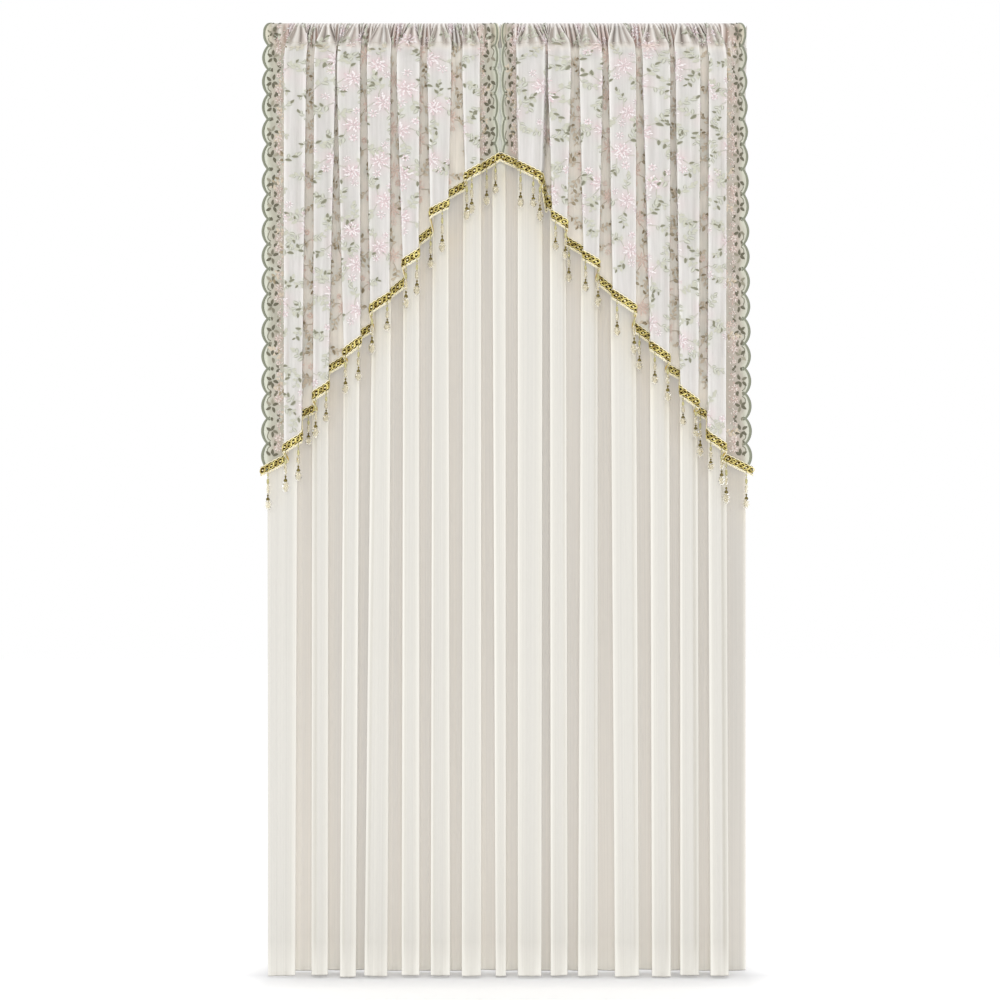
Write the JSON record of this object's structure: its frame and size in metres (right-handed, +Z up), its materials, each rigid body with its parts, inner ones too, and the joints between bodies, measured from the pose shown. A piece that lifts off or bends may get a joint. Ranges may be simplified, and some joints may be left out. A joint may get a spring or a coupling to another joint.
{
  "type": "door curtain",
  "caption": "Sheer ivory door curtain on a gathered rod pocket, with scalloped floral overlays whose diagonal lower edges carry gold braid and bead drops.",
  "frame": {"origin": "middle of the top edge, over the rod pocket", "axes": "+Z up, the front faces -Y, +X to the right as seen from the front"},
  "size_m": [1.0266, 0.0978, 2],
  "materials": {
    "ivory_voile": "matte",
    "embroidered_voile": "matte",
    "gold_braid": "satin",
    "glass_beads": "gloss"
  },
  "bodies": {
    "root": {"heading": "ivory_voile", "base_panel": "ivory_voile", "overlay_left": "embroidered_voile", "trim_left": "gold_braid", "overlay_right": "embroidered_voile", "trim_right": "gold_braid"}
  },
  "joints": []
}
